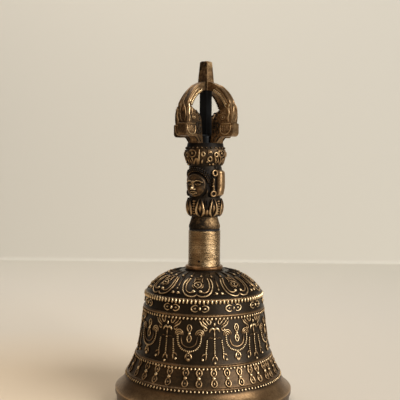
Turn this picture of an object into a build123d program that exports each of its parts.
from build123d import *

import math
import os

# A ritual hand bell with a half-vajra handle, in millimetres.
# +Z is up, the origin is the centre of the mouth's resting face, and the face on the handle looks to -Y.

# Bell: heights stack upwards from the resting face.
lip_radius = 45.0
lip_wall = 4.4
rim_height = 6.6
rim_step = 0.5
rim_lean = 0.7
lip_band_height = 2.3
lip_shoulder_rise = 5.9
lip_shoulder_run = 5.0
lip_shoulder_bulge = 0.6
flare_height = 19.2
waist_radius = 32.5
wall_height = 23.2
shoulder_radius = 29.3
dome_height = 10.9
seat_radius = 10.0
seat_step = 0.4
bell_wall = 2.5
crown_wall = 3.2
mouth_edge_round = 0.8

# Raised bands round the bell: at the shoulder, below it, below the waist and above the lip's shoulder.
band_thickness = 0.65
frieze_band_drop = 7.3
skirt_band_drop = 7.4
foot_band_rise = 2.1

# Seat ring, turned sleeve and the lac that beds the handle in it.
seat_ring_radius = 9.6
seat_ring_height = 2.0
seat_ring_edge_round = 0.8
sleeve_height = 17.9
sleeve_radius = 8.15
sleeve_foot_radius = 8.5
sleeve_foot_height = 3.0
sleeve_wall = 1.4
sleeve_edge_round = 0.4
lac_gap = 0.05
seam_radius = 7.85
seam_height = 0.8

# Cross-pin through the sleeve, above its foot.
pin_radius = 0.6
pin_height = 2.6
pin_angle = -71.0
pin_inner_radius = 4.2
pin_recess = 0.15
pin_clearance = 0.03

# Core rod: round in the grip, square between the prongs.
rod_radius = 2.5
rod_clearance = 0.08
rod_square = 4.4
rod_boss_radius = 4.5
rod_boss_height = 4.5
rod_boss_round = 1.6
rod_spigot_radius = 1.5
rod_spigot_length = 3.0
socket_clearance = 0.05

# Handle castings, stacked on the rod.
collar_height = 6.2
collar_foot_radius = 8.0
collar_neck_radius = 6.6
collar_foot_band = 1.5
collar_foot_round = 0.9
petal_ring_height = 10.1
petal_ring_foot_radius = 6.9
petal_ring_radius = 8.5
petal_ring_top_radius = 7.8
petal_count = 16
petal_groove_radius = 0.75
petal_groove_offset = 0.2
head_height = 15.5
head_neck_radius = 8.2
head_radius = 8.9
face_radius = 6.6
face_reach = 9.7
ear_reach = 10.7
ear_width = 3.4
ear_height = 14.0
crown_height = 11.6
crown_foot_radius = 8.2
crown_radius = 10.3
crown_top_radius = 9.1
crown_round = 4.5

# Cage of four prongs round the rod.
prong_width = 4.0
stalk_inner_radius = 5.2
stalk_outer_radius = 9.3
stalk_height = 3.2
stalk_flare_radius = 13.6
snout_width = 5.2
snout_radius = 18.9
snout_height = 6.6
snout_chin_round = 2.0
snout_brow_round = 0.9
throat_radius = 6.6
throat_height = 8.9
mane_radius = 7.4
mane_height = 13.0
mane_top_radius = 11.4
mane_top_height = 16.2
cuff_foot_radius = 17.8
cuff_outer_radius = 18.2
cuff_inner_radius = 14.2
cuff_height = 17.5
bow_foot_radius = 17.5
bow_outer_mid_radius = 13.4
bow_outer_mid_drop = 6.4
bow_inner_mid_radius = 10.6
bow_inner_mid_drop = 3.6
cage_height = 26.7

# Tip of the centre prong.
tip_block_height = 4.3
tip_base_width = 5.8
tip_top_width = 4.3
tip_height = 10.4
tip_edge_chamfer = 0.45

# Fastening inside the crown.
washer_radius = 7.0
washer_thickness = 1.2
nut_across_flats = 8.5
nut_height = 3.2

# Hanger, link and clapper.
hanger_boss_radius = 4.2
hanger_boss_height = 4.4
rod_end_depth = 3.4
cheek_gap = 3.4
cheek_thickness = 1.5
cheek_radius = 2.0
hanger_pin_radius = 0.9
hanger_pin_drop = 4.1
hanger_pin_clearance = 0.03
link_wire_radius = 0.8
link_half_width = 2.6
link_corner_radius = 1.4
link_length = 6.9
swing_clearance = 0.2
eye_radius = 2.6
eye_thickness = 1.6
shank_radius = 1.3
shank_length = 33.6
shank_collar_radius = 2.2
shank_collar_height = 1.2
ball_radius = 6.2
ball_flat = 0.6
rivet_radius = 2.0
rivet_height = 0.9

# Levels worked out from the sizes above.
edge_level = rim_height
band_level = edge_level + lip_band_height
flare_level = band_level + lip_shoulder_rise
waist_level = flare_level + flare_height
shoulder_level = waist_level + wall_height
dome_level = shoulder_level + dome_height
seat_level = dome_level + seat_step
band_levels = (
    shoulder_level,
    shoulder_level - frieze_band_drop,
    waist_level - skirt_band_drop,
    flare_level + foot_band_rise,
)
crown_underside = dome_level - crown_wall
sleeve_level = seat_level + seat_ring_height
sleeve_top = sleeve_level + sleeve_height
collar_level = sleeve_top + seam_height
petal_level = collar_level + collar_height
head_level = petal_level + petal_ring_height
crown_level = head_level + head_height
cage_level = crown_level + crown_height
tip_block_level = cage_level + cage_height
tip_level = tip_block_level + tip_block_height
tip_top = tip_level + tip_height
washer_level = crown_underside - washer_thickness
nut_level = washer_level - nut_height
hanger_level = nut_level - hanger_boss_height
hanger_pin_level = hanger_level - hanger_pin_drop
link_top_level = hanger_pin_level + hanger_pin_radius + swing_clearance + link_wire_radius
link_bottom_level = link_top_level - link_length
ball_level = link_bottom_level - shank_length
ball_flat_offset = ball_radius - ball_flat
sleeve_bore = sleeve_radius - sleeve_wall
rod_bore = rod_radius + rod_clearance
flare_radius = lip_radius - lip_shoulder_run
shank_bore = shank_radius + socket_clearance

prong_angles = {"front": -90.0, "right": 0.0, "back": 90.0, "left": 180.0}


def upright_plane(angle):
    """The plane that holds the bell's axis and looks out at the given angle."""
    turn = math.radians(angle)
    out = (math.cos(turn), math.sin(turn), 0)
    normal = (math.sin(turn), -math.cos(turn), 0)
    return Plane(origin=(0, 0, 0), x_dir=out, z_dir=normal)


def wall_radius(level):
    """Radius of the bell's outside, between the flare and the shoulder band."""
    if level >= waist_level:
        share = (level - waist_level) / wall_height
        return waist_radius + share * (shoulder_radius - waist_radius)
    return outer_flare_radius(level)


def outer_flare_radius(level):
    """Radius on the arc that leaves the straight wall at the waist and ends at the lip's shoulder."""
    start_angle = math.atan2(waist_radius - shoulder_radius, wall_height)
    chord_x = flare_radius - waist_radius
    chord_z = flare_height
    bend = math.atan2(chord_x, chord_z) - start_angle
    arc_radius = math.hypot(chord_x, chord_z) / (2 * math.sin(bend))
    heading = math.asin(math.sin(start_angle) + (waist_level - level) / arc_radius)
    return waist_radius + arc_radius * (math.cos(start_angle) - math.cos(heading))


os.makedirs("parts", exist_ok=True)

# The direction in which the straight wall runs down into the flare.
wall_direction = (waist_radius - shoulder_radius, -wall_height)

# Bell shell: one casting, thick at the lip and crown.
with BuildPart() as bell_shell:
    with BuildSketch(Plane.XZ):
        with BuildLine():
            Line((rod_bore, seat_level), (seat_radius, seat_level))
            Line((seat_radius, seat_level), (seat_radius, dome_level))
            TangentArc((seat_radius, dome_level), (shoulder_radius, shoulder_level), tangent=(1, 0))
            Line((shoulder_radius, shoulder_level), (waist_radius, waist_level))
            TangentArc((waist_radius, waist_level), (flare_radius, flare_level), tangent=wall_direction)
            SagittaArc((flare_radius, flare_level), (lip_radius, band_level), -lip_shoulder_bulge)
            Line((lip_radius, band_level), (lip_radius, edge_level))
            Line((lip_radius, edge_level), (lip_radius - rim_step, edge_level))
            Line((lip_radius - rim_step, edge_level), (lip_radius - rim_step - rim_lean, 0))
            Line((lip_radius - rim_step - rim_lean, 0), (lip_radius - lip_wall, 0))
            Line((lip_radius - lip_wall, 0), (flare_radius - bell_wall, flare_level))
            TangentArc(
                (waist_radius - bell_wall, waist_level),
                (flare_radius - bell_wall, flare_level),
                tangent=wall_direction,
            )
            Line(
                (waist_radius - bell_wall, waist_level),
                (shoulder_radius - bell_wall, shoulder_level - seat_step),
            )
            TangentArc(
                (seat_radius, crown_underside),
                (shoulder_radius - bell_wall, shoulder_level - seat_step),
                tangent=(1, 0),
            )
            Line((seat_radius, crown_underside), (rod_bore, crown_underside))
            Line((rod_bore, crown_underside), (rod_bore, seat_level))
        make_face()
    revolve(axis=Axis.Z)
    mouth_edges = bell_shell.edges().filter_by(GeomType.CIRCLE).group_by(Axis.Z)[0]
    fillet(mouth_edges, mouth_edge_round)
    with BuildSketch(Plane.XZ):
        for level in band_levels:
            with Locations((wall_radius(level), level)):
                Circle(band_thickness)
    revolve(axis=Axis.Z)
bell_shell.part.label = "bell_shell"
export_step(bell_shell.part, "parts/bell_shell.step")

# Seat ring between the bell and the sleeve.
with BuildPart() as seat_ring:
    with BuildSketch(Plane.XY.offset(seat_level)):
        Circle(seat_ring_radius)
        Circle(rod_bore, mode=Mode.SUBTRACT)
    extrude(amount=seat_ring_height)
    seat_ring_edges = seat_ring.edges().filter_by(GeomType.CIRCLE)
    fillet(seat_ring_edges.group_by(SortBy.RADIUS)[-1], seat_ring_edge_round)
seat_ring.part.label = "seat_ring"
export_step(seat_ring.part, "parts/seat_ring.step")

# Turned sleeve, flaring a little at its foot.
with BuildPart() as sleeve:
    with BuildSketch(Plane.XZ):
        with BuildLine():
            Line((sleeve_bore, sleeve_level), (sleeve_foot_radius, sleeve_level))
            TangentArc(
                (sleeve_radius, sleeve_level + sleeve_foot_height),
                (sleeve_foot_radius, sleeve_level),
                tangent=(0, -1),
            )
            Line((sleeve_radius, sleeve_level + sleeve_foot_height), (sleeve_radius, sleeve_top))
            Line((sleeve_radius, sleeve_top), (sleeve_bore, sleeve_top))
            Line((sleeve_bore, sleeve_top), (sleeve_bore, sleeve_level))
        make_face()
    revolve(axis=Axis.Z)
    sleeve_top_edges = sleeve.edges().filter_by(GeomType.CIRCLE).group_by(Axis.Z)[-1]
    fillet(sleeve_top_edges.sort_by(SortBy.RADIUS)[-1], sleeve_edge_round)
    with BuildSketch(upright_plane(pin_angle - 90)):
        with Locations((0, sleeve_level + pin_height)):
            Circle(pin_radius + pin_clearance)
    extrude(amount=-sleeve_foot_radius * 2, mode=Mode.SUBTRACT)
sleeve.part.label = "sleeve"
export_step(sleeve.part, "parts/sleeve.step")

# Lac that fills the sleeve round the rod and shows as the dark seam over it.
with BuildPart() as lac_fill:
    with BuildSketch(Plane.XZ):
        with BuildLine():
            Polyline(
                (rod_bore, sleeve_level),
                (sleeve_bore - lac_gap, sleeve_level),
                (sleeve_bore - lac_gap, sleeve_top),
                (seam_radius, sleeve_top),
                (seam_radius, collar_level),
                (rod_bore, collar_level),
                close=True,
            )
        make_face()
    revolve(axis=Axis.Z)
    with BuildSketch(upright_plane(pin_angle - 90)):
        with Locations((0, sleeve_level + pin_height)):
            Circle(pin_radius + pin_clearance)
    extrude(amount=-sleeve_foot_radius * 2, mode=Mode.SUBTRACT)
lac_fill.part.label = "lac_fill"
export_step(lac_fill.part, "parts/lac_fill.step")

# Cross-pin, driven through the sleeve's wall into the lac.
pin_direction = (math.cos(math.radians(pin_angle)), math.sin(math.radians(pin_angle)), 0)
pin_start = (
    pin_direction[0] * pin_inner_radius,
    pin_direction[1] * pin_inner_radius,
    sleeve_level + pin_height,
)
with BuildPart() as sleeve_pin:
    with BuildSketch(Plane(origin=pin_start, z_dir=pin_direction)):
        Circle(pin_radius)
    extrude(amount=sleeve_radius - pin_recess - pin_inner_radius)
sleeve_pin.part.label = "sleeve_pin"
export_step(sleeve_pin.part, "parts/sleeve_pin.step")

# Core rod: ties the handle to the bell from the boss on the crown down to the nut inside.
with BuildPart() as core_rod:
    with BuildSketch(Plane.XY.offset(hanger_level + hanger_boss_height - rod_end_depth)):
        Circle(rod_radius)
    extrude(amount=cage_level - hanger_level - hanger_boss_height + rod_end_depth)
    with BuildSketch(Plane.XY.offset(cage_level)):
        Circle(rod_boss_radius)
    extrude(amount=rod_boss_height)
    fillet(core_rod.edges().group_by(Axis.Z)[-1], rod_boss_round)
    with BuildSketch(Plane.XY.offset(cage_level + rod_boss_height)):
        Rectangle(rod_square, rod_square)
    extrude(amount=cage_height - rod_boss_height)
    with BuildSketch(Plane.XY.offset(tip_block_level)):
        Circle(rod_spigot_radius)
    extrude(amount=rod_spigot_length)
core_rod.part.label = "core_rod"
export_step(core_rod.part, "parts/core_rod.step")

# Foot collar of the handle.
with BuildPart() as foot_collar:
    with BuildSketch(Plane.XZ):
        with BuildLine():
            Line((rod_bore, collar_level), (collar_foot_radius - collar_foot_round, collar_level))
            TangentArc(
                (collar_foot_radius - collar_foot_round, collar_level),
                (collar_foot_radius, collar_level + collar_foot_round),
                tangent=(1, 0),
            )
            Polyline(
                (collar_foot_radius, collar_level + collar_foot_round),
                (collar_foot_radius, collar_level + collar_foot_band),
                (collar_neck_radius, petal_level),
            )
            Line((collar_neck_radius, petal_level), (rod_bore, petal_level))
            Line((rod_bore, petal_level), (rod_bore, collar_level))
        make_face()
    revolve(axis=Axis.Z)
foot_collar.part.label = "foot_collar"
export_step(foot_collar.part, "parts/foot_collar.step")

# Lotus ring with upright petals.
with BuildPart() as petal_ring:
    with BuildSketch(Plane.XZ):
        with BuildLine():
            Line((rod_bore, petal_level), (petal_ring_foot_radius, petal_level))
            ThreePointArc(
                (petal_ring_foot_radius, petal_level),
                (petal_ring_radius, petal_level + petal_ring_height / 2),
                (petal_ring_top_radius, head_level),
            )
            Line((petal_ring_top_radius, head_level), (rod_bore, head_level))
            Line((rod_bore, head_level), (rod_bore, petal_level))
        make_face()
    revolve(axis=Axis.Z)
    with BuildSketch(Plane.XY.offset(petal_level)):
        groove_circle = petal_ring_radius + petal_groove_offset
        with PolarLocations(groove_circle, petal_count, start_angle=180 / petal_count):
            Circle(petal_groove_radius)
    extrude(amount=petal_ring_height, mode=Mode.SUBTRACT)
petal_ring.part.label = "petal_ring"
export_step(petal_ring.part, "parts/petal_ring.step")

# Head: a round core, the face's oval in front and the long ear ornaments at its sides.
with BuildPart() as head:
    with BuildSketch(Plane.XZ):
        with BuildLine():
            Line((rod_bore, head_level), (head_neck_radius, head_level))
            ThreePointArc(
                (head_neck_radius, head_level),
                (head_radius, head_level + head_height / 2),
                (head_neck_radius, crown_level),
            )
            Line((head_neck_radius, crown_level), (rod_bore, crown_level))
            Line((rod_bore, crown_level), (rod_bore, head_level))
        make_face()
    revolve(axis=Axis.Z)
    with BuildSketch(Plane.YZ):
        with Locations((0, head_level + head_height / 2)):
            SlotOverall(ear_height, ear_width, rotation=90)
    extrude(amount=ear_reach, both=True)
    with Locations((0, face_radius - face_reach, head_level + head_height / 2)):
        Sphere(face_radius)
    with Locations((0, 0, head_level + head_height / 2)):
        Cylinder(rod_bore, head_height, mode=Mode.SUBTRACT)
head.part.label = "head"
export_step(head.part, "parts/head.step")

# Crown over the head, which carries the prongs.
with BuildPart() as crown:
    with BuildSketch(Plane.XZ):
        with BuildLine():
            Line((rod_bore, crown_level), (crown_foot_radius, crown_level))
            FilletPolyline(
                (crown_foot_radius, crown_level),
                (crown_radius, crown_level + crown_height / 2),
                (crown_top_radius, cage_level),
                radius=crown_round,
            )
            Line((crown_top_radius, cage_level), (rod_bore, cage_level))
            Line((rod_bore, cage_level), (rod_bore, crown_level))
        make_face()
    revolve(axis=Axis.Z)
crown.part.label = "crown"
export_step(crown.part, "parts/crown.step")

# Side prongs: each rises from the crown through a beast's head and bows in to the tip.
cuff_level = cage_level + cuff_height
snout_level = cage_level + stalk_height
snout_top = snout_level + snout_height
throat_level = cage_level + throat_height
mane_level = cage_level + mane_height
mane_top_level = cage_level + mane_top_height
for side, angle in prong_angles.items():
    with BuildPart() as prong:
        with BuildSketch(upright_plane(angle)):
            with BuildLine():
                Line((tip_base_width / 2, tip_block_level), (tip_base_width / 2, tip_level))
                ThreePointArc(
                    (tip_base_width / 2, tip_level),
                    (bow_outer_mid_radius, tip_level - bow_outer_mid_drop),
                    (bow_foot_radius, cuff_level),
                )
                Line((bow_foot_radius, cuff_level), (cuff_inner_radius, cuff_level))
                ThreePointArc(
                    (cuff_inner_radius, cuff_level),
                    (bow_inner_mid_radius, tip_block_level - bow_inner_mid_drop),
                    (tip_base_width / 2, tip_block_level),
                )
            make_face()
        extrude(amount=prong_width / 2, both=True)
        with BuildSketch(upright_plane(angle)):
            with BuildLine():
                Line((stalk_inner_radius, cage_level), (stalk_outer_radius, cage_level))
                TangentArc(
                    (stalk_outer_radius, cage_level),
                    (stalk_flare_radius, snout_level),
                    tangent=(0, 1),
                )
                Line((stalk_flare_radius, snout_level), (snout_radius - snout_chin_round, snout_level))
                TangentArc(
                    (snout_radius - snout_chin_round, snout_level),
                    (snout_radius, snout_level + snout_chin_round),
                    tangent=(1, 0),
                )
                Line(
                    (snout_radius, snout_level + snout_chin_round),
                    (snout_radius, snout_top - snout_brow_round),
                )
                TangentArc(
                    (snout_radius, snout_top - snout_brow_round),
                    (snout_radius - snout_brow_round, snout_top),
                    tangent=(0, 1),
                )
                Line((snout_radius - snout_brow_round, snout_top), (cuff_foot_radius, snout_top))
                ThreePointArc(
                    (cuff_foot_radius, snout_top),
                    (cuff_outer_radius, (snout_top + cuff_level) / 2),
                    (bow_foot_radius, cuff_level),
                )
                Polyline(
                    (bow_foot_radius, cuff_level),
                    (cuff_inner_radius, cuff_level),
                    (mane_top_radius, mane_top_level),
                )
                ThreePointArc(
                    (mane_top_radius, mane_top_level),
                    (mane_radius, mane_level),
                    (throat_radius, throat_level),
                )
                Line((throat_radius, throat_level), (stalk_inner_radius, cage_level))
            make_face()
        extrude(amount=snout_width / 2, both=True)
    prong.part.label = f"{side}_prong"
    export_step(prong.part, f"parts/{side}_prong.step")

# Tip: a block that gathers the four prongs, and the tapering point of the centre prong.
with BuildPart() as prong_tip:
    with BuildSketch(Plane.XY.offset(tip_block_level)):
        Rectangle(tip_base_width, tip_base_width)
    extrude(amount=tip_block_height)
    with BuildSketch(Plane.XY.offset(tip_level)):
        Rectangle(tip_base_width, tip_base_width)
    with BuildSketch(Plane.XY.offset(tip_top)):
        Rectangle(tip_top_width, tip_top_width)
    loft()
    chamfer(prong_tip.edges().group_by(Axis.Z)[-1], tip_edge_chamfer)
    with BuildSketch(Plane.XY.offset(tip_block_level)):
        Circle(rod_spigot_radius + socket_clearance)
    extrude(amount=rod_spigot_length + socket_clearance, mode=Mode.SUBTRACT)
prong_tip.part.label = "prong_tip"
export_step(prong_tip.part, "parts/prong_tip.step")

# Washer and nut under the bell's crown.
with BuildPart() as crown_washer:
    with BuildSketch(Plane.XY.offset(washer_level)):
        Circle(washer_radius)
        Circle(rod_bore, mode=Mode.SUBTRACT)
    extrude(amount=washer_thickness)
crown_washer.part.label = "crown_washer"
export_step(crown_washer.part, "parts/crown_washer.step")

with BuildPart() as crown_nut:
    with BuildSketch(Plane.XY.offset(nut_level)):
        RegularPolygon(nut_across_flats / 2, 6, major_radius=False)
        Circle(rod_bore, mode=Mode.SUBTRACT)
    extrude(amount=nut_height)
crown_nut.part.label = "crown_nut"
export_step(crown_nut.part, "parts/crown_nut.step")

# Hanger: a boss on the rod's end with two cheeks for the hanger pin.
with BuildPart() as clapper_hanger:
    with BuildSketch(Plane.XY.offset(hanger_level)):
        Circle(hanger_boss_radius)
    extrude(amount=hanger_boss_height)
    for cheek_side in (-1, 1):
        cheek_offset = -cheek_side * (cheek_gap / 2 + cheek_thickness / 2)
        with BuildSketch(Plane.XZ.offset(cheek_offset)):
            with Locations((0, hanger_pin_level)):
                Circle(cheek_radius)
            with Locations((0, hanger_pin_level + hanger_pin_drop / 2)):
                Rectangle(cheek_radius * 2, hanger_pin_drop)
            with Locations((0, hanger_pin_level)):
                Circle(hanger_pin_radius + hanger_pin_clearance, mode=Mode.SUBTRACT)
        extrude(amount=cheek_thickness / 2, both=True)
    with BuildSketch(Plane.XY.offset(hanger_level + hanger_boss_height)):
        Circle(rod_radius + socket_clearance)
    extrude(amount=-rod_end_depth, mode=Mode.SUBTRACT)
clapper_hanger.part.label = "clapper_hanger"
export_step(clapper_hanger.part, "parts/clapper_hanger.step")

with BuildPart() as hanger_pin:
    with BuildSketch(Plane.XZ):
        with Locations((0, hanger_pin_level)):
            Circle(hanger_pin_radius)
    extrude(amount=cheek_gap / 2 + cheek_thickness, both=True)
hanger_pin.part.label = "hanger_pin"
export_step(hanger_pin.part, "parts/hanger_pin.step")

# Link: a closed loop of wire that hangs on the pin and carries the clapper's eye.
with BuildPart() as clapper_link:
    with BuildLine(Plane.XZ) as link_path:
        FilletPolyline(
            (link_half_width, link_top_level),
            (link_half_width, link_bottom_level),
            (-link_half_width, link_bottom_level),
            (-link_half_width, link_top_level),
            close=True,
            radius=link_corner_radius,
        )
    link_wire = link_path.wires()[0]
    with BuildSketch(Plane(origin=link_wire @ 0, z_dir=link_wire % 0)):
        Circle(link_wire_radius)
    sweep(path=link_wire)
clapper_link.part.label = "clapper_link"
export_step(clapper_link.part, "parts/clapper_link.step")

# Clapper shank: a forged eye above, a collar over the ball and a riveted end under it.
eye_bore = link_wire_radius + swing_clearance
ball_top = ball_level + ball_flat_offset
ball_bottom = ball_level - ball_flat_offset
with BuildPart() as clapper_shank:
    with BuildSketch(Plane.YZ):
        with Locations((0, link_bottom_level)):
            Circle(eye_radius)
    extrude(amount=eye_thickness / 2, both=True)
    with BuildSketch(Plane.XY.offset(ball_bottom)):
        Circle(shank_radius)
    extrude(amount=link_bottom_level - eye_radius + link_wire_radius - ball_bottom)
    with BuildSketch(Plane.XY.offset(ball_top)):
        Circle(shank_collar_radius)
    extrude(amount=shank_collar_height)
    with BuildSketch(Plane.XY.offset(ball_bottom)):
        Circle(rivet_radius)
    extrude(amount=-rivet_height)
    with BuildSketch(Plane.YZ):
        with Locations((0, link_bottom_level)):
            Circle(eye_bore)
    extrude(amount=eye_thickness, both=True, mode=Mode.SUBTRACT)
clapper_shank.part.label = "clapper_shank"
export_step(clapper_shank.part, "parts/clapper_shank.step")

# Clapper ball, threaded on the shank.
with BuildPart() as clapper_ball:
    with Locations((0, 0, ball_level)):
        Sphere(ball_radius)
    split(bisect_by=Plane.XY.offset(ball_top), keep=Keep.BOTTOM)
    split(bisect_by=Plane.XY.offset(ball_bottom), keep=Keep.TOP)
    with Locations((0, 0, ball_level)):
        Cylinder(shank_bore, ball_radius * 2, mode=Mode.SUBTRACT)
clapper_ball.part.label = "clapper_ball"
export_step(clapper_ball.part, "parts/clapper_ball.step")
